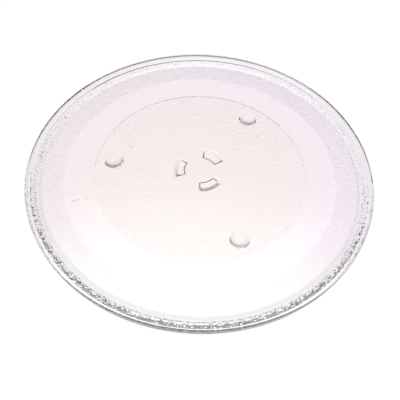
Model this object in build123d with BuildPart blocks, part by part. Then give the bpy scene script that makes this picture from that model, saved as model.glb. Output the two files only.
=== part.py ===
# Microwave oven turntable plate: a shallow dish pressed from one piece of clear glass.
# It stands right way up on its three feet. Z is the axis that it turns on, and Z = 0 is the
# plane under the feet. One foot and one lug point along -X. Lengths are in millimetres and
# angles in degrees.

from build123d import *
import os
from math import asin, degrees, radians, sqrt, tan

# Driving dimensions of the rim and the wall
plate_diameter = 340.0  # over the upright face of the rim's edge
dish_depth = 6.9  # from the rim's upper corner down to the dish's floor
lip_width = 6.7  # from the top corner of the wall out to the edge of the rim
lip_tilt = 2.5  # the lip rises outwards
lip_corner_radius = 2.2  # where the wall turns into the lip
wall_slope = 43.5  # from level, inside the dish
wall_foot_radius = 4.3  # inside the dish, where the floor turns up into the wall
edge_height = 6.15  # of the upright face, between the rim's two corners
edge_top_radius = 1.5
edge_bottom_radius = 0.85
bead_width = 2.2  # from the edge of the rim in to the ledge under it
ledge_width = 1.35
under_slope = 40.7  # from level, of the wall's underside and of the rim's underside
heel_radius = 3.6  # where the band turns up into the wall

# Driving dimensions of the floor and of the rings on its underside
disc_thickness = 4.6
track_relief = 0.1  # the roller track and the band stand proud of the disc
step_width = 0.2
track_width = 28.2
band_width = 27.9  # from the roller track out to the heel's corner

# Driving dimensions of the feet
foot_count = 3
foot_margin = 17.7  # from the disc's edge in to the middle of a foot
foot_diameter = 19.2  # where its dome meets the disc
foot_height = 3.2
foot_flat_diameter = 2.4  # flat end of the dome
foot_blend_radius = 3.0

# Driving dimensions of the drive lugs
lug_count = 3
lug_inner_radius = 16.0
lug_outer_radius = 27.5
lug_angle = 54.0  # between its two radial sides
lug_height = 2.7
lug_draft = 17.0
lug_lean = 4.0  # how much further its outer side draws in towards the free end
lug_inner_corner_radius = 1.0
lug_outer_corner_radius = 2.4
lug_edge_radius = 1.5
lug_blend_radius = 1.7

# Where the first foot and the first lug point
first_angle = 180.0

# Levels, from the plane under the feet upwards
disc_underside = foot_height
track_underside = disc_underside - track_relief
dish_floor = disc_underside + disc_thickness
rim_top = dish_floor + dish_depth
rim_bottom = rim_top - edge_height
ledge_underside = rim_bottom - bead_width * tan(radians(under_slope))
lip_level = rim_top - lip_width * tan(radians(lip_tilt))
lug_end = disc_underside - lug_height

# Radii, from the rim inwards
plate_radius = plate_diameter / 2
lip_radius = plate_radius - lip_width
floor_radius = lip_radius - (lip_level - dish_floor) / tan(radians(wall_slope))
ledge_outer_radius = plate_radius - bead_width
ledge_inner_radius = ledge_outer_radius - ledge_width
band_outer_radius = ledge_inner_radius - (ledge_underside - track_underside) / tan(radians(under_slope))
track_outer_radius = band_outer_radius - band_width
track_inner_radius = track_outer_radius - track_width
disc_radius = track_inner_radius - step_width
foot_circle_radius = disc_radius - foot_margin

# Dome of a foot: its arc leaves the flat end level, and the blend carries it on into the disc
foot_flat_radius = foot_flat_diameter / 2
dome_width = foot_diameter / 2 - foot_flat_radius
dome_radius = (dome_width**2 + foot_height**2) / (2 * foot_height)
blend_rise = dome_radius + foot_blend_radius - foot_height
blend_run = sqrt((dome_radius + foot_blend_radius) ** 2 - blend_rise**2)
dome_share = dome_radius / (dome_radius + foot_blend_radius)
dome_reach = foot_flat_radius + dome_share * blend_run
dome_rise = dome_radius - dome_share * blend_rise
foot_reach = foot_flat_radius + blend_run


def lug_plan(inset, lean):
    """Plan of one lug on the +X axis, drawn in all round and leant in at its outer side."""
    inner_radius = lug_inner_radius + inset
    outer_radius = lug_outer_radius - inset - lean
    inner_half = lug_angle / 2 - degrees(asin(inset / inner_radius))
    outer_half = lug_angle / 2 - degrees(asin(inset / outer_radius))
    with BuildSketch() as plan:
        with BuildLine():
            inner_arc = CenterArc((0, 0), inner_radius, -inner_half, 2 * inner_half)
            outer_arc = CenterArc((0, 0), outer_radius, -outer_half, 2 * outer_half)
            Line(inner_arc @ 0, outer_arc @ 0)
            Line(inner_arc @ 1, outer_arc @ 1)
        make_face()
        corners = plan.vertices().sort_by(lambda corner: corner.center().length)
        fillet(corners[:2], lug_inner_corner_radius)
        fillet(corners[2:], lug_outer_corner_radius)
    return plan.sketch


# One lug, from the disc down to its free end
with BuildPart() as drive_lug:
    with BuildSketch(Plane.XY.offset(disc_underside)):
        add(lug_plan(0, 0))
    with BuildSketch(Plane.XY.offset(lug_end)):
        add(lug_plan(lug_height * tan(radians(lug_draft)), lug_lean))
    loft()
    fillet(drive_lug.edges().group_by(Axis.Z)[0], lug_edge_radius)

# One foot, with its dome turned about its own axis
with BuildPart() as foot:
    with BuildSketch(Plane.XZ):
        with BuildLine():
            flat_end = Line((0, 0), (foot_flat_radius, 0))
            dome = TangentArc(flat_end @ 1, (dome_reach, dome_rise), tangent=(1, 0))
            blend = TangentArc(dome @ 1, (foot_reach, foot_height), tangent=dome % 1)
            Polyline(blend @ 1, (0, foot_height), (0, 0))
        make_face()
    revolve(axis=Axis.Z)

with BuildPart() as turntable_plate:
    # Section of the dish, turned about the axis
    with BuildSketch(Plane.XZ):
        with BuildLine():
            section = FilletPolyline(
                (0, disc_underside),
                (disc_radius, disc_underside),
                (track_inner_radius, track_underside),
                (band_outer_radius, track_underside),
                (ledge_inner_radius, ledge_underside),
                (ledge_outer_radius, ledge_underside),
                (plate_radius, rim_bottom),
                (plate_radius, rim_top),
                (lip_radius, lip_level),
                (floor_radius, dish_floor),
                (0, dish_floor),
                radius=[
                    0,
                    0,
                    heel_radius,
                    0,
                    0,
                    edge_bottom_radius,
                    edge_top_radius,
                    lip_corner_radius,
                    wall_foot_radius,
                ],
            )
            Line(section @ 1, section @ 0)
        make_face()
    revolve(axis=Axis.Z)

    # Feet, which hold the plate level when it stands on a table
    with PolarLocations(foot_circle_radius, foot_count, start_angle=first_angle):
        add(foot.part)

    # Lugs around the axis, which the oven's drive coupler turns
    with PolarLocations(0, lug_count, start_angle=first_angle):
        add(drive_lug.part)
    base_edges = turntable_plate.edges().filter_by_position(Axis.Z, disc_underside, disc_underside)
    fillet(base_edges.filter_by(lambda edge: not edge.is_closed), lug_blend_radius)

os.makedirs("parts", exist_ok=True)
turntable_plate.part.label = "turntable_plate"
export_step(turntable_plate.part, "parts/turntable_plate.step")
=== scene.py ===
"""Looks of a microwave oven's glass turntable plate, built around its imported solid.

The plate is turned again from its section as one fine mesh, so that the stipple pressed into
its underside is real geometry, and its feet and drive lugs are joined on. It stands on a white
studio floor under a soft dome of light. Lengths are in metres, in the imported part's own frame.
"""

import logging
import math
from collections.abc import Iterator, Sequence
from contextlib import contextmanager
from dataclasses import dataclass, field
from enum import Enum
from typing import Any, Union

import bpy
import numpy as np
from mathutils import Matrix, Vector


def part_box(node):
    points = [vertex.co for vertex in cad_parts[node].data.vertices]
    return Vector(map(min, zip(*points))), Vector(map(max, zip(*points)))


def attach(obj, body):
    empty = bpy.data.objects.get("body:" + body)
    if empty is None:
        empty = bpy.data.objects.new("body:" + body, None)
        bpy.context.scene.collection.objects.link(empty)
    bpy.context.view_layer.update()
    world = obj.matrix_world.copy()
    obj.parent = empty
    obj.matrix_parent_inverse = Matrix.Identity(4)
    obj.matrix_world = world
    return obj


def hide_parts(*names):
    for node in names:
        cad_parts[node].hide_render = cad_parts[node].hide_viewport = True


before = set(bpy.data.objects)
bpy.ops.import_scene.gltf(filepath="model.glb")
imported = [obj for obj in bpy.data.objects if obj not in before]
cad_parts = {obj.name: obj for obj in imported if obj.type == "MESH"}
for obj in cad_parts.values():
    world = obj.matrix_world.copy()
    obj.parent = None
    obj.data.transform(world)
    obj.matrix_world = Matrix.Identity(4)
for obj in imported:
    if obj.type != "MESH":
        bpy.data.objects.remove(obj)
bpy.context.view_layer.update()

LOG = logging.getLogger("turntable_plate")
NODE = "turntable_plate"
MM = 0.001
WELD = 1e-6

Number = Union[float, "Wire"]
Colour = tuple[float, float, float, float]
Span = tuple[float, float]

WHITE: Colour = (1.0, 1.0, 1.0, 1.0)


class Wire:
    """A shader value that Python expressions are written with.

    Args:
        graph: the node graph that new Math nodes are added to.
        socket: the output socket that carries the value.
    """

    def __init__(self, graph: "Graph", socket: bpy.types.NodeSocket) -> None:
        self.graph = graph
        self.socket = socket

    def _math(self, operation: str, first: Number, second: Number) -> "Wire":
        """Adds a Math node of two values and returns its result."""
        node = self.graph.node("ShaderNodeMath", {"operation": operation}, {0: first, 1: second})
        return Wire(self.graph, node.outputs[0])

    def __add__(self, other: Number) -> "Wire":
        """Sum of two values."""
        return self._math("ADD", self, other)

    __radd__ = __add__

    def __sub__(self, other: Number) -> "Wire":
        """This value less another."""
        return self._math("SUBTRACT", self, other)

    def __rsub__(self, other: Number) -> "Wire":
        """Another value less this one."""
        return self._math("SUBTRACT", other, self)

    def __mul__(self, other: Number) -> "Wire":
        """Product of two values."""
        return self._math("MULTIPLY", self, other)

    __rmul__ = __mul__

    def __pow__(self, other: Number) -> "Wire":
        """This value to a power."""
        return self._math("POWER", self, other)

    def __or__(self, other: Number) -> "Wire":
        """The larger of two values, so that two masks become one."""
        return self._math("MAXIMUM", self, other)


class Graph:
    """A node tree that is written as expressions.

    Args:
        tree: the node tree of a material or of the world, which is emptied.
    """

    def __init__(self, tree: bpy.types.NodeTree) -> None:
        self.tree = tree
        self.tree.nodes.clear()

    def node(
        self,
        kind: str,
        settings: dict[str, Any] | None = None,
        sockets: dict[int | str, Any] | None = None,
    ) -> bpy.types.Node:
        """Adds a node.

        Args:
            kind: the node's type.
            settings: its own properties, which are set first.
            sockets: values, wires or output sockets for its inputs, by name or number.

        Returns:
            The new node.
        """
        node = self.tree.nodes.new(kind)
        for name, value in (settings or {}).items():
            setattr(node, name, value)
        for name, value in (sockets or {}).items():
            if isinstance(value, Wire):
                value = value.socket
            if isinstance(value, bpy.types.NodeSocket):
                self.tree.links.new(value, node.inputs[name])
            else:
                node.inputs[name].default_value = value
        return node

    def wire(self, node: bpy.types.Node, output: int | str = 0) -> Wire:
        """One output of a node, as a value for expressions."""
        return Wire(self, node.outputs[output])

    def smooth_step(self, value: Number, low: float, high: float) -> Wire:
        """Eases from 0 at the low limit to 1 at the high limit."""
        node = self.node(
            "ShaderNodeMapRange",
            {"interpolation_type": "SMOOTHSTEP"},
            {"Value": value, "From Min": low, "From Max": high},
        )
        return self.wire(node)

    def mix(self, factor: Number, first: Any, second: Any) -> bpy.types.NodeSocket:
        """Blends two colours.

        Args:
            factor: 0 gives the first colour and 1 the second.
            first: a colour of four numbers, or a socket.
            second: a colour of four numbers, or a socket.

        Returns:
            The blended colour's socket.
        """
        node = self.node("ShaderNodeMix", {"data_type": "RGBA"}, {0: factor, 6: first, 7: second})
        return node.outputs[2]


@contextmanager
def editing(piece: bpy.types.Object, mode: str = "VERT") -> Iterator[None]:
    """Opens a piece in edit mode, and closes it again.

    Args:
        piece: the piece to edit, which becomes the only selected object.
        mode: what is selected there: VERT, EDGE or FACE.
    """
    choose(piece)
    kinds = ("VERT", "EDGE", "FACE")
    bpy.context.tool_settings.mesh_select_mode = [kind == mode for kind in kinds]
    bpy.ops.object.mode_set(mode="EDIT")
    yield
    bpy.ops.object.mode_set(mode="OBJECT")


def choose(piece: bpy.types.Object, *others: bpy.types.Object) -> None:
    """Makes a piece the active object, and selects it and any others alone."""
    bpy.ops.object.select_all(action="DESELECT")
    for item in (piece, *others):
        item.select_set(True)
    bpy.context.view_layer.objects.active = piece


def vertex_places(piece: bpy.types.Object) -> np.ndarray:
    """Places of a piece's vertices, one row each."""
    places = np.empty(len(piece.data.vertices) * 3)
    piece.data.vertices.foreach_get("co", places)
    return places.reshape(-1, 3)


def vertex_normals(piece: bpy.types.Object) -> np.ndarray:
    """Normals of a piece's vertices, one row each."""
    normals = np.empty(len(piece.data.vertices) * 3)
    piece.data.vertex_normals.foreach_get("vector", normals)
    return normals.reshape(-1, 3)


def select_only(piece: bpy.types.Object, kind: str, chosen: np.ndarray) -> None:
    """Selects some of a piece's vertices, edges or polygons in object mode.

    Args:
        piece: the piece.
        kind: vertices, edges or polygons.
        chosen: one truth value for each of them.
    """
    mesh = piece.data
    for name in ("vertices", "edges", "polygons"):
        items = getattr(mesh, name)
        picked = chosen if name == kind else np.zeros(len(items), bool)
        items.foreach_set("select", picked)


@dataclass(frozen=True)
class Corner:
    """A corner of an outline in the plane of radius and height.

    Attributes:
        radius: distance from the axis.
        level: height.
        fillet: radius that the corner is rounded to.
        run: equal steps along the straight run that leads here.
        turn: equal steps round the fillet.
    """

    radius: float
    level: float
    fillet: float = 0.0
    run: int = 1
    turn: int = 6

    def place(self) -> Vector:
        """The corner as a point of the XZ plane."""
        return Vector((self.radius, 0.0, self.level))


def rounded(before: Vector, corner: Corner, after: Vector) -> list[Vector]:
    """Rounds one corner of an outline.

    Args:
        before: the outline's last point.
        corner: the corner to round.
        after: the next corner's place.

    Returns:
        Points of the fillet's arc, or the corner alone where it is sharp.
    """
    place = corner.place()
    if corner.fillet == 0.0:
        return [place]
    back = (before - place).normalized()
    ahead = (after - place).normalized()
    half = back.angle(ahead) / 2
    centre = place + (back + ahead).normalized() * corner.fillet / math.sin(half)
    start = place + back * corner.fillet / math.tan(half) - centre
    end = place + ahead * corner.fillet / math.tan(half) - centre
    shares = [step / corner.turn for step in range(corner.turn + 1)]
    return [centre + start.slerp(end, share) * corner.fillet for share in shares]


def outline(corners: Sequence[Corner]) -> list[Vector]:
    """Points along a row of corners, with runs divided and fillets as arcs.

    Args:
        corners: the corners in order. The first and the last are sharp.

    Returns:
        The points, with none twice in a row.
    """
    points = [corners[0].place()]
    for number, corner in enumerate(corners[1:], start=1):
        after = corners[min(number + 1, len(corners) - 1)].place()
        arc = rounded(points[-1], corner, after)
        start = points[-1]
        for step in range(1, corner.run):
            points.append(start.lerp(arc[0], step / corner.run))
        points.extend(point for point in arc if (point - points[-1]).length > WELD)
    return points


def drawn(name: str, points: Sequence[Vector]) -> bpy.types.Object:
    """Draws a row of points as a wire.

    Args:
        name: the new piece's name.
        points: the points in order.

    Returns:
        The new piece.
    """
    bpy.ops.object.select_all(action="DESELECT")
    bpy.ops.mesh.primitive_plane_add(size=MM)
    piece = bpy.context.object
    piece.name = name
    piece.data.name = name
    with editing(piece):
        bpy.ops.mesh.select_all(action="SELECT")
        bpy.ops.mesh.merge(type="CENTER")
        bpy.ops.mesh.select_all(action="SELECT")
        bpy.ops.transform.translate(value=points[0])
        for start, end in zip(points, points[1:]):
            bpy.ops.mesh.extrude_region_move(TRANSFORM_OT_translate={"value": end - start})
    return piece


def turned(name: str, points: Sequence[Vector], steps: int) -> bpy.types.Object:
    """Turns an outline about the Z axis into a closed mesh.

    Args:
        name: the new piece's name.
        points: the outline, from one point of the axis to another.
        steps: how many steps make the full turn.

    Returns:
        The new piece.
    """
    piece = drawn(name, points)
    with editing(piece):
        bpy.ops.mesh.select_all(action="SELECT")
        bpy.ops.mesh.spin(steps=steps, angle=math.tau, center=(0, 0, 0), axis=(0, 0, 1))
        bpy.ops.mesh.select_all(action="SELECT")
        bpy.ops.mesh.remove_doubles(threshold=WELD)
        bpy.ops.mesh.normals_make_consistent(inside=False)
    return piece


@dataclass(frozen=True)
class PlateSection:
    """Section of the dish, from its axis out to its rim."""

    plate_radius: float
    disc_underside: float
    disc_thickness: float = 4.6 * MM
    disc_radius: float = 106.0 * MM
    track_drop: float = 0.2 * MM
    step_width: float = 0.35 * MM
    track_width: float = 28.2 * MM
    dish_depth: float = 6.9 * MM
    wall_slope: float = math.radians(43.5)
    wall_foot: float = 4.3 * MM
    lip_width: float = 6.7 * MM
    lip_tilt: float = math.radians(2.5)
    lip_corner: float = 2.2 * MM
    edge_height: float = 6.15 * MM
    edge_top: float = 1.5 * MM
    edge_bottom: float = 0.85 * MM
    edge_line: float = 1.6 * MM
    bead_width: float = 2.2 * MM
    ledge_width: float = 1.35 * MM
    ledge_round: float = 0.15 * MM
    under_slope: float = math.radians(40.7)
    heel: float = 3.6 * MM
    disc_ring: float = 1.4 * MM
    band_ring: float = 1.05 * MM
    wall_ring: float = 0.7 * MM
    fine_share: float = 0.7
    heel_gap_inside: float = 2.0 * MM
    heel_gap_outside: float = 0.3 * MM

    @property
    def dish_floor(self) -> float:
        """Level of the dish's floor."""
        return self.disc_underside + self.disc_thickness

    @property
    def track_underside(self) -> float:
        """Level of the roller track and of the outer band."""
        return self.disc_underside - self.track_drop

    @property
    def rim_top(self) -> float:
        """Level of the rim's upper edge."""
        return self.dish_floor + self.dish_depth

    @property
    def rim_line(self) -> float:
        """Level of the rim's outermost line."""
        return self.rim_top - self.edge_line

    @property
    def rim_bottom(self) -> float:
        """Level of the rim's lower edge."""
        return self.rim_top - self.edge_height

    @property
    def lip_radius(self) -> float:
        """Radius where the wall's upper side meets the lip."""
        return self.plate_radius - self.lip_width

    @property
    def lip_level(self) -> float:
        """Level where the wall's upper side meets the lip."""
        return self.rim_top - self.lip_width * math.tan(self.lip_tilt)

    @property
    def fine_radius(self) -> float:
        """Radius beyond which the disc's rings are divided more finely."""
        return self.fine_share * self.disc_radius

    @property
    def band_radius(self) -> float:
        """Radius where the stippled outer band begins."""
        return self.disc_radius + self.step_width + self.track_width

    @property
    def ledge_outer(self) -> float:
        """Radius of the ledge's outer end, under the rim."""
        return self.plate_radius - self.bead_width

    @property
    def ledge_inner(self) -> float:
        """Radius of the ledge's inner end, where the stippled wall ends."""
        return self.ledge_outer - self.ledge_width

    @property
    def ledge_level(self) -> float:
        """Level of the ledge."""
        return self.rim_bottom - self.bead_width * math.tan(self.under_slope)

    @property
    def heel_radius(self) -> float:
        """Radius where the band turns up into the wall."""
        rise = self.ledge_level - self.track_underside
        return self.ledge_inner - rise / math.tan(self.under_slope)

    @property
    def band_end(self) -> float:
        """Radius where the band's stipple ends, short of the heel."""
        return self.heel_radius - self.heel_gap_inside

    @property
    def wall_start(self) -> float:
        """Radius where the wall's stipple begins, beyond the heel."""
        return self.heel_radius + self.heel_gap_outside

    @staticmethod
    def rings(length: float, ring: float) -> int:
        """Rings of about the given width that a stretch of that length takes."""
        return max(1, round(length / ring))

    def corners(self) -> list[Corner]:
        """Corners of the section, along the underside, round the rim and back along the top."""
        wall_rise = self.lip_level - self.dish_floor
        floor_radius = self.lip_radius - wall_rise / math.tan(self.wall_slope)
        disc_rings = self.rings(self.disc_radius, self.disc_ring)
        heel_tangent = self.heel * math.tan(self.under_slope / 2)
        heel_arc = self.rings(self.heel * self.under_slope, self.wall_ring)
        band_rings = self.rings(self.heel_radius - heel_tangent - self.band_radius, self.band_ring)
        wall_length = (self.ledge_inner - self.heel_radius) / math.cos(self.under_slope)
        wall_rings = self.rings(wall_length - heel_tangent, self.wall_ring)
        guard = self.step_width
        return [
            Corner(0.0, self.disc_underside),
            Corner(self.disc_radius - guard, self.disc_underside, run=disc_rings),
            Corner(self.disc_radius, self.disc_underside),
            Corner(self.disc_radius + self.step_width, self.track_underside),
            Corner(self.disc_radius + self.step_width + guard, self.track_underside),
            Corner(self.band_radius, self.track_underside, run=4),
            Corner(self.heel_radius, self.track_underside, self.heel, band_rings, heel_arc),
            Corner(self.ledge_inner, self.ledge_level, self.ledge_round, wall_rings, 2),
            Corner(self.ledge_outer, self.ledge_level, self.ledge_round, 1, 2),
            Corner(self.plate_radius, self.rim_bottom, self.edge_bottom, 3, 5),
            Corner(self.plate_radius, self.rim_top, self.edge_top, 2, 8),
            Corner(self.lip_radius, self.lip_level, self.lip_corner, 3, 6),
            Corner(floor_radius, self.dish_floor, self.wall_foot, 3, 8),
            Corner(0.0, self.dish_floor, run=6),
        ]


@dataclass(frozen=True)
class Foot:
    """One of the round, domed feet that the plate stands on."""

    circle_radius: float = 88.3 * MM
    base_radius: float = 9.6 * MM
    height: float = 3.2 * MM
    flat_radius: float = 1.2 * MM
    blend: float = 3.0 * MM
    sunk: float = 2.0 * MM
    steps: int = 64

    @property
    def dome(self) -> float:
        """Radius of the dome, which leaves the flat end level and meets the disc at the base."""
        width = self.base_radius - self.flat_radius
        return (width**2 + self.height**2) / (2 * self.height)

    def build(self, angle: float) -> bpy.types.Object:
        """Models the foot, sunk a little into the disc.

        Args:
            angle: where it stands around the plate's axis, in radians.

        Returns:
            The new piece.
        """
        reach = self.dome + self.blend
        steep = math.acos((reach - self.height) / reach)
        knee = math.tan(steep / 2)
        skirt_radius = self.flat_radius + reach * math.sin(steep)
        corners = [
            Corner(0.0, 0.0),
            Corner(self.flat_radius + self.dome * knee, 0.0, self.dome, 1, 14),
            Corner(skirt_radius - self.blend * knee, self.height, self.blend, 1, 6),
            Corner(skirt_radius + self.blend, self.height + self.sunk / 2),
            Corner(skirt_radius, self.height + self.sunk),
            Corner(0.0, self.height + self.sunk),
        ]
        piece = turned("foot", outline(corners), self.steps)
        place = Vector((math.cos(angle), math.sin(angle), 0.0)) * self.circle_radius
        choose(piece)
        bpy.ops.transform.translate(value=place)
        bpy.ops.object.transform_apply(location=True, rotation=True, scale=True)
        return piece


@dataclass(frozen=True)
class DriveLug:
    """One of the lugs around the axis that the oven's coupler pushes on."""

    inner_radius: float = 16.0 * MM
    outer_radius: float = 27.5 * MM
    spread: float = math.radians(54.0)
    height: float = 2.7 * MM
    draft: float = math.radians(17.0)
    ramp: float = 4.0 * MM
    inner_corner: float = 1.0 * MM
    outer_corner: float = 2.4 * MM
    edge: float = 0.4 * MM
    blend: float = 2.0 * MM
    sunk: float = 2.0 * MM

    def build(self, angle: float, level: float) -> bpy.types.Object:
        """Models the lug, sunk a little into the disc.

        Args:
            angle: where its middle stands around the plate's axis, in radians.
            level: height of the disc's underside.

        Returns:
            The new piece.
        """
        side = self._side()
        rows = [self._plan(side[0].x, self.sunk)]
        rows += [self._plan(step.x, step.z) for step in side]
        rise = Vector((0.0, 0.0, level))
        wires = [drawn("drive_lug", [point + rise for point in row]) for row in rows]
        choose(*wires)
        bpy.ops.object.join()
        piece = wires[0]
        count = len(rows[0])
        row_of_vertex = np.arange(len(rows) * count) // count
        for row in range(len(rows) - 1):
            ends = np.array([edge.vertices[:] for edge in piece.data.edges]) // count
            within_row = ends[:, 0] == ends[:, 1]
            select_only(piece, "edges", within_row & np.isin(ends[:, 0], (row, row + 1)))
            with editing(piece, "EDGE"):
                bpy.ops.mesh.bridge_edge_loops()
        for row in (0, len(rows) - 1):
            select_only(piece, "vertices", row_of_vertex == row)
            with editing(piece):
                bpy.ops.mesh.edge_face_add()
        with editing(piece):
            bpy.ops.mesh.select_all(action="SELECT")
            bpy.ops.mesh.remove_doubles(threshold=WELD)
            bpy.ops.mesh.normals_make_consistent(inside=False)
        piece.rotation_euler.z = angle
        choose(piece)
        bpy.ops.object.transform_apply(location=True, rotation=True, scale=True)
        return piece

    def _plan(self, inset: float, rise: float) -> list[Vector]:
        """One row around the lug, on the X axis.

        Args:
            inset: how far in from the lug's base the row lies.
            rise: its height over the disc's underside. The outer side leans in below that.

        Returns:
            The row's points.
        """
        inner = self.inner_radius + inset
        outer = self.outer_radius - inset + self.ramp * min(rise, 0.0) / self.height
        inner_half = self.spread / 2 - math.asin(inset / inner)
        outer_half = self.spread / 2 - math.asin(inset / outer)
        steps = [(inner, inner_half * part / 4, 0.0) for part in range(4)]
        steps += [(inner, inner_half, self.inner_corner), (outer, outer_half, self.outer_corner)]
        steps += [(outer, outer_half * part / 3, 0.0) for part in (2, 1, 0, -1, -2)]
        steps += [(outer, -outer_half, self.outer_corner), (inner, -inner_half, self.inner_corner)]
        steps += [(inner, -inner_half * part / 4, 0.0) for part in (3, 2, 1, 0)]
        corners = [
            Corner(reach * math.cos(turn), reach * math.sin(turn), fillet)
            for reach, turn, fillet in steps
        ]
        return [Vector((point.x, point.z, rise)) for point in outline(corners)]

    def _side(self) -> list[Vector]:
        """Side of the lug, from the edge of its blend in and down to its free end."""
        steep = math.pi / 2 - self.draft
        skirt = self.blend * math.tan(steep / 2)
        draw = self.height * math.tan(self.draft)
        corners = [
            Corner(-skirt, 0.0),
            Corner(0.0, 0.0, self.blend, 1, 5),
            Corner(draw, -self.height, self.edge, 2, 5),
            Corner(draw + self.edge, -self.height),
        ]
        return outline(corners)[:-1]


class Surface(Enum):
    """Kinds of surface on the plate, by the number of their material slot."""

    CLEAR = 0
    DISC = 1
    BAND = 2
    WALL = 3
    SOFT = 4
    BEAD = 5
    # outward faces of the rim, whose finish carries painted shade
    EDGE = 6


@dataclass(frozen=True)
class Stipple:
    """The fine grain that is pressed into parts of the underside."""

    disc_height: float = 0.32 * MM
    band_height: float = 0.32 * MM
    wall_height: float = 0.43 * MM
    bead_height: float = 0.35 * MM
    clear_middle: float = 46.0 * MM
    seed: int = 11

    def height(self, surface: Surface) -> float:
        """How far a surface's grain stands in or out."""
        heights = {
            Surface.DISC: self.disc_height,
            Surface.BAND: self.band_height,
            Surface.WALL: self.wall_height,
            Surface.BEAD: self.bead_height,
        }
        return heights.get(surface, 0.0)


@dataclass
class GlassPlate:
    """The whole plate: its dish, feet and lugs, as one piece of glass."""

    section: PlateSection
    foot: Foot = field(default_factory=Foot)
    lug: DriveLug = field(default_factory=DriveLug)
    stipple: Stipple = field(default_factory=Stipple)
    steps: int = 288
    count: int = 3
    first_angle: float = math.pi
    down: float = -0.3
    lug_outside: float = 0.25
    edge_outside: float = 0.75
    lug_share: float = 1.2
    smooth_angle: float = math.radians(40.0)
    piece: bpy.types.Object | None = None

    def build(self) -> bpy.types.Object:
        """Models the plate.

        Returns:
            The finished piece, with its faces in the slots of their surfaces.
        """
        section = self.section
        self.piece = turned("glass_plate", outline(section.corners()), self.steps)
        self._divide(section.fine_radius, section.disc_radius, 1)
        self._divide(section.band_radius, section.ledge_inner, 2)
        self._divide(section.heel_radius, section.ledge_inner, 1)
        self._divide(section.ledge_outer, section.plate_radius, 1)
        self._mark_surfaces()
        self._press_stipple()
        self._join_fittings()
        self._soften_fittings()
        choose(self.piece)
        bpy.ops.object.shade_smooth_by_angle(angle=self.smooth_angle)
        return self.piece

    def _under(self, inner: float, outer: float) -> np.ndarray:
        """Which vertices lie on the underside between two radii."""
        radii = np.hypot(*vertex_places(self.piece)[:, :2].T)
        faces_down = vertex_normals(self.piece)[:, 2] < self.down
        return faces_down & (radii > inner - WELD) & (radii < outer + WELD)

    def _divide(self, inner: float, outer: float, cuts: int) -> None:
        """Divides the rings of the underside between two radii, around the axis."""
        places = vertex_places(self.piece)
        ends = np.array([edge.vertices[:] for edge in self.piece.data.edges])
        radii = np.hypot(*places[:, :2].T)
        around = np.abs(radii[ends[:, 0]] - radii[ends[:, 1]]) < WELD
        level = np.abs(places[ends[:, 0], 2] - places[ends[:, 1], 2]) < WELD
        under = self._under(inner, outer)
        select_only(self.piece, "edges", around & level & under[ends].all(1))
        with editing(self.piece, "EDGE"):
            bpy.ops.mesh.subdivide(number_cuts=cuts)

    def _grain(self, surface: Surface) -> np.ndarray:
        """Which vertices carry the stipple of a surface."""
        section, gap = self.section, self.section.wall_ring / 2
        limits = {
            Surface.DISC: (self.stipple.clear_middle, section.disc_radius - gap),
            Surface.BAND: (section.band_radius + gap, section.band_end),
            Surface.WALL: (section.wall_start, section.ledge_inner - gap),
            Surface.BEAD: (section.ledge_outer + gap, section.plate_radius - section.edge_bottom),
        }
        return self._under(*limits[surface])

    def _press_stipple(self) -> None:
        """Moves the stippled vertices a little in or out, each by its own amount."""
        for surface in (Surface.DISC, Surface.BAND, Surface.WALL, Surface.BEAD):
            select_only(self.piece, "vertices", self._grain(surface))
            with editing(self.piece):
                bpy.ops.transform.vertex_random(
                    offset=self.stipple.height(surface),
                    uniform=0.0,
                    normal=1.0,
                    seed=self.stipple.seed,
                )

    def _mark_surfaces(self) -> None:
        """Gives the faces of each surface their material slot."""
        section = self.section
        under = {
            Surface.DISC: self._under(0.0, section.disc_radius),
            Surface.BAND: self._under(section.band_radius, section.band_end + section.band_ring),
            Surface.WALL: self._under(section.band_end, section.ledge_inner),
            Surface.BEAD: self._under(section.ledge_outer, section.plate_radius),
        }
        slots = np.zeros(len(self.piece.data.polygons), int)
        for surface, chosen in under.items():
            whole = [chosen[list(polygon.vertices)].all() for polygon in self.piece.data.polygons]
            slots[np.array(whole)] = surface.value
        for number, polygon in enumerate(self.piece.data.polygons):
            outwards = polygon.center.xy.normalized().dot(polygon.normal.xy)
            if outwards > self.edge_outside and polygon.center.xy.length > section.ledge_outer:
                slots[number] = Surface.EDGE.value
        for _ in Surface:
            self.piece.data.materials.append(None)
        self.piece.data.polygons.foreach_set("material_index", slots)

    def _soften_fittings(self) -> None:
        """Makes the feet and the lugs' outer sides soft, and the lugs' other sides clear."""
        for polygon in self.piece.data.polygons:
            if polygon.center.z > self.section.track_underside - self.section.step_width:
                continue
            radius = polygon.center.xy.length
            outwards = polygon.center.xy.normalized().dot(polygon.normal.xy)
            of_foot = radius > self.lug.outer_radius * self.lug_share
            soft = of_foot or outwards > self.lug_outside
            if radius < self.section.disc_radius:
                polygon.material_index = (Surface.SOFT if soft else Surface.CLEAR).value

    def _join_fittings(self) -> None:
        """Joins the feet and the lugs to the dish as one closed surface."""
        fittings = []
        for number in range(self.count):
            angle = self.first_angle + number * math.tau / self.count
            fittings.append(self.foot.build(angle))
            fittings.append(self.lug.build(angle, self.section.disc_underside))
        choose(*fittings)
        bpy.ops.object.join()
        choose(self.piece)
        union = self.piece.modifiers.new("fittings", "BOOLEAN")
        union.operation = "UNION"
        union.solver = "MANIFOLD"
        union.object = fittings[0]
        bpy.ops.object.modifier_apply(modifier=union.name)
        choose(fittings[0])
        bpy.ops.object.delete()

    def dress(self, finishes: dict[Surface, "GlassFinish"]) -> None:
        """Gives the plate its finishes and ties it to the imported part.

        Args:
            finishes: the finish of each surface.
        """
        for surface, finish in finishes.items():
            self.piece.data.materials[surface.value] = finish.material(self.section)
        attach(self.piece, "root")
        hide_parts(NODE)


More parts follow.
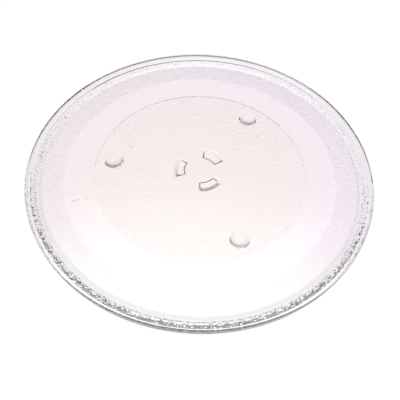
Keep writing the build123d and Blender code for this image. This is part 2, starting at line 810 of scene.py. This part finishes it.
@dataclass(frozen=True)
class Scratch:
    """A short worn line in the dish's floor, which runs towards the rim."""

    radius: float
    angle: float
    length: float
    width: float
    strength: float
    soft: float = 0.8 * MM

    def mask(self, graph: Graph, x: Wire, y: Wire) -> Wire:
        """Shows where the scratch lies.

        Args:
            graph: the material's graph.
            x: place along X.
            y: place along Y.

        Returns:
            The scratch's strength along its line, and 0 elsewhere.
        """
        ahead, aside = math.cos(self.angle), math.sin(self.angle)
        along = x * ahead + y * aside - self.radius
        across = y * ahead - x * aside
        strength = self.strength
        for offset, half in ((along, self.length / 2), (across, self.width / 2)):
            distance = (offset * offset) ** 0.5
            strength = graph.smooth_step(distance, half + self.soft, half) * strength
        return strength


@dataclass(frozen=True)
class GlassFinish:
    """Clear glass with a faint tint that drifts from its middle to its rim, with painted light and
    shade in that tint: lighter and warmer towards the front, warmer on the left, lighter on the
    near side, and darker at the rim.
    """

    name: str
    roughness: float
    scratches: tuple[Scratch, ...] = ()
    scratch_tint: Colour = (0.42, 0.39, 0.39, 1.0)
    middle_tint: Colour = (0.957, 0.878, 0.873, 1.0)
    # painted light: the middle turns lighter and warmer towards the front, the rings warmer on the
    # left, and the outer rings lighter on the near side
    front_painted_light: Colour = (0.955, 0.89, 0.845, 1.0)
    ring_tint: Colour = (0.95, 0.865, 0.925, 1.0)
    left_painted_light: Colour = (0.95, 0.865, 0.875, 1.0)
    # painted shade: the rim is tinted darker, for the dark outline that it shows
    rim_painted_shade: Colour = (0.865, 0.825, 0.865, 1.0)
    near_painted_light: Colour = (0.97, 0.955, 0.96, 1.0)
    ring_shares: Span = (0.4, 0.8)
    front_light_shares: Span = (0.0, 0.5)
    left_light_shares: Span = (0.2, 0.7)
    near_light_shares: Span = (0.45, 0.8)
    rim_shade_offsets: Span = (-6.0 * MM, 2.0 * MM)
    index: float = 1.5

    def material(self, section: PlateSection) -> bpy.types.Material:
        """Makes the material.

        Args:
            section: the plate's section, which the tint follows.

        Returns:
            The new material.
        """
        material = bpy.data.materials.new(self.name)
        material.use_nodes = True
        graph = Graph(material.node_tree)
        place = graph.node("ShaderNodeTexCoord").outputs["Object"]
        split = graph.node("ShaderNodeSeparateXYZ", sockets={0: place})
        x, y, z = graph.wire(split, "X"), graph.wire(split, "Y"), graph.wire(split, "Z")
        tint = self._tint(graph, section, x, y)
        on_top = graph.smooth_step(z, section.disc_underside, section.dish_floor)
        for scratch in self.scratches:
            tint = graph.mix(scratch.mask(graph, x, y) * on_top, tint, self.scratch_tint)
        glass = graph.node(
            "ShaderNodeBsdfPrincipled",
            sockets={
                "Base Color": tint,
                "Roughness": self.roughness,
                "IOR": self.index,
                "Transmission Weight": 1.0,
            },
        )
        graph.node("ShaderNodeOutputMaterial", sockets={"Surface": glass.outputs[0]})
        return material

    def _tint(
        self, graph: Graph, section: PlateSection, x: Wire, y: Wire
    ) -> bpy.types.NodeSocket:
        """Blends the tints of the plate's middle and rings with painted light towards the front,
        the left and the near side, and with painted shade at the rim.

        Args:
            graph: the material's graph.
            section: the plate's section, which the tint follows.
            x: place along X.
            y: place along Y.

        Returns:
            The tint's socket.
        """
        radius = (x * x + y * y) ** 0.5

        def over(value: Wire, shares: Span) -> Wire:
            """Eases in over a span that is given in shares of the plate's radius."""
            low, high = (share * section.plate_radius for share in shares)
            return graph.smooth_step(value, low, high)

        # painted shade: where the darker tint round the rim begins and ends
        inner, outer = (section.heel_radius + offset for offset in self.rim_shade_offsets)
        rim_shade_mask = graph.smooth_step(radius, inner, outer)
        to_rings = over(radius, self.ring_shares)
        # painted light: masks for the lighter and warmer tints towards the front, the left and the
        # near side
        front_light_mask = over(-1.0 * y, self.front_light_shares)
        left_light_mask = over(-1.0 * x, self.left_light_shares)
        near_light_mask = over(-1.0 * y, self.near_light_shares)
        middle = graph.mix(front_light_mask, self.middle_tint, self.front_painted_light)
        rings = graph.mix(left_light_mask, self.ring_tint, self.left_painted_light)
        sides = graph.mix(rim_shade_mask, rings, self.rim_painted_shade)
        near = graph.mix(near_light_mask, sides, self.near_painted_light)
        return graph.mix(to_rings, middle, near)


@dataclass(frozen=True)
class PhotoView:
    """The camera, as fitted to the rings of the plate in a square picture."""

    picture: float = 400.0
    focal_length: float = 459.7
    distance: float = 2.7
    elevation: float = math.radians(50.5)
    azimuth: float = math.radians(4.05)
    roll: float = math.radians(2.67)
    aim_right: float = 0.005
    aim_away: float = -0.2565
    sensor: float = 36.0
    clip: float = 0.01

    def build(self, section: PlateSection) -> bpy.types.Object:
        """Sets the camera up.

        Args:
            section: the plate's section. Its radius is the unit of the view's distances.

        Returns:
            The camera.
        """
        turn = Matrix.Rotation(self.azimuth, 3, "Z")
        back = Vector((0.0, -math.cos(self.elevation), math.sin(self.elevation)))
        rise = Vector((0.0, 0.0, section.rim_line))
        place = turn @ back * self.distance * section.plate_radius + rise
        aim = turn @ Vector((self.aim_right, self.aim_away, 0.0)) * section.plate_radius + rise
        look = (aim - place).to_track_quat("-Z", "Y").to_matrix()
        bpy.ops.object.camera_add(location=place)
        camera = bpy.context.object
        camera.name = "photo_view"
        camera.rotation_euler = (look @ Matrix.Rotation(self.roll, 3, "Z")).to_euler()
        camera.data.sensor_width = self.sensor
        camera.data.lens = self.focal_length / self.picture * self.sensor
        camera.data.clip_start = self.clip
        bpy.context.scene.camera = camera
        return camera


@dataclass(frozen=True)
class Studio:
    """A white sheet under a high soft light, in a room that is dim towards the horizon."""

    floor_size: float = 8.0
    floor_gap: float = 0.15 * MM
    sheet_inner: float = 0.40
    sheet_outer: float = 0.60
    floor_glow: float = 0.95
    paper: Colour = (0.9, 0.9, 0.9, 1.0)
    far_floor: Colour = (0.15, 0.15, 0.15, 1.0)
    room: float = 0.12
    window: float = 0.5
    window_side: Span = (-0.7, -0.2)
    walls: float = 0.6
    wall_heights: Span = (0.50, 0.64)
    overhead: float = 2.5
    overhead_heights: Span = (0.76, 0.90)

    def build(self) -> None:
        """Sets up the floor and the light."""
        bpy.ops.object.select_all(action="DESELECT")
        bpy.ops.mesh.primitive_plane_add(size=self.floor_size, location=(0.0, 0.0, -self.floor_gap))
        floor = bpy.context.object
        floor.name = "studio_floor"
        floor.data.materials.append(self._floor_material())
        self._dome()

    def _floor_material(self) -> bpy.types.Material:
        """White paper that shows nearly white and still takes the plate's shadow."""
        material = bpy.data.materials.new("white_paper")
        material.use_nodes = True
        graph = Graph(material.node_tree)
        place = graph.node("ShaderNodeTexCoord").outputs["Object"]
        split = graph.node("ShaderNodeSeparateXYZ", sockets={0: place})
        x, y = graph.wire(split, "X"), graph.wire(split, "Y")
        far = graph.smooth_step((x * x + y * y) ** 0.5, self.sheet_inner, self.sheet_outer)
        rays = graph.node("ShaderNodeLightPath")
        camera = graph.wire(rays, "Is Camera Ray")
        glass = graph.wire(rays, "Is Glossy Ray") | graph.wire(rays, "Is Transmission Ray")
        sheet = camera | glass * (1.0 - far)
        white = camera | (1.0 - far)
        colour = graph.mix(white, self.far_floor, self.paper)
        paper = graph.node("ShaderNodeBsdfDiffuse", sockets={"Color": colour})
        glow = graph.node("ShaderNodeEmission", sockets={"Color": WHITE})
        shown = graph.node(
            "ShaderNodeMixShader",
            sockets={0: sheet * self.floor_glow, 1: paper.outputs[0], 2: glow.outputs[0]},
        )
        graph.node("ShaderNodeOutputMaterial", sockets={"Surface": shown.outputs[0]})
        return material

    def _dome(self) -> None:
        """Lights the scene from above, and a little from the walls of the room."""
        world = bpy.data.worlds.new("studio_dome")
        bpy.context.scene.world = world
        world.use_nodes = True
        graph = Graph(world.node_tree)
        place = graph.node("ShaderNodeTexCoord").outputs["Generated"]
        split = graph.node("ShaderNodeSeparateXYZ", sockets={0: place})
        side, height = graph.wire(split, "X"), graph.wire(split, "Z")
        left = 1.0 - graph.smooth_step(side, *self.window_side)
        walls = graph.smooth_step(height, *self.wall_heights)
        overhead = graph.smooth_step(height, *self.overhead_heights)
        strength = walls * self.walls + overhead * self.overhead + left * self.window + self.room
        dome = graph.node("ShaderNodeBackground", sockets={"Color": WHITE, "Strength": strength})
        white = graph.node("ShaderNodeBackground", sockets={"Color": WHITE, "Strength": 1.0})
        camera = graph.wire(graph.node("ShaderNodeLightPath"), "Is Camera Ray")
        shown = graph.node(
            "ShaderNodeMixShader", sockets={0: camera, 1: dome.outputs[0], 2: white.outputs[0]}
        )
        graph.node("ShaderNodeOutputWorld", sockets={"Surface": shown.outputs[0]})


def main() -> None:
    """Builds and dresses the plate, and sets up the studio."""
    logging.basicConfig(level=logging.INFO, format="%(name)s: %(message)s")
    bpy.context.scene.view_settings.view_transform = "Standard"
    low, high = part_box(NODE)
    foot = Foot()
    section = PlateSection((high.x - low.x) / 2, low.z + foot.height)
    plate = GlassPlate(section, foot)
    piece = plate.build()
    LOG.info("%s: %d faces", piece.name, len(piece.data.polygons))
    scratches = (
        Scratch(125.8 * MM, math.radians(-154.2), 6.2 * MM, 1.1 * MM, 0.6),
        Scratch(115.4 * MM, math.radians(-153.3), 2.6 * MM, 1.2 * MM, 0.35),
        Scratch(57.8 * MM, math.radians(-142.4), 0.9 * MM, 0.9 * MM, 0.5),
    )
    plate.dress(
        {
            Surface.CLEAR: GlassFinish("clear_glass", 0.0, scratches),
            Surface.DISC: GlassFinish("stippled_disc", 0.30),
            Surface.BAND: GlassFinish("stippled_band", 0.40),
            Surface.WALL: GlassFinish("stippled_wall", 0.1),
            Surface.SOFT: GlassFinish("soft_glass", 0.40),
            Surface.BEAD: GlassFinish("grained_bead", 0.05),
            # painted shade: the rim's outward faces are tinted dark grey all round, for the dark
            # line along the plate's edge
            Surface.EDGE: GlassFinish(
                "edge_glass_painted_shade",
                0.0,
                rim_painted_shade=(0.6, 0.58, 0.6, 1.0),
                near_painted_light=(0.6, 0.59, 0.6, 1.0),
            ),
        }
    )
    PhotoView().build(section)
    Studio().build()


if __name__ == "__main__":
    main()
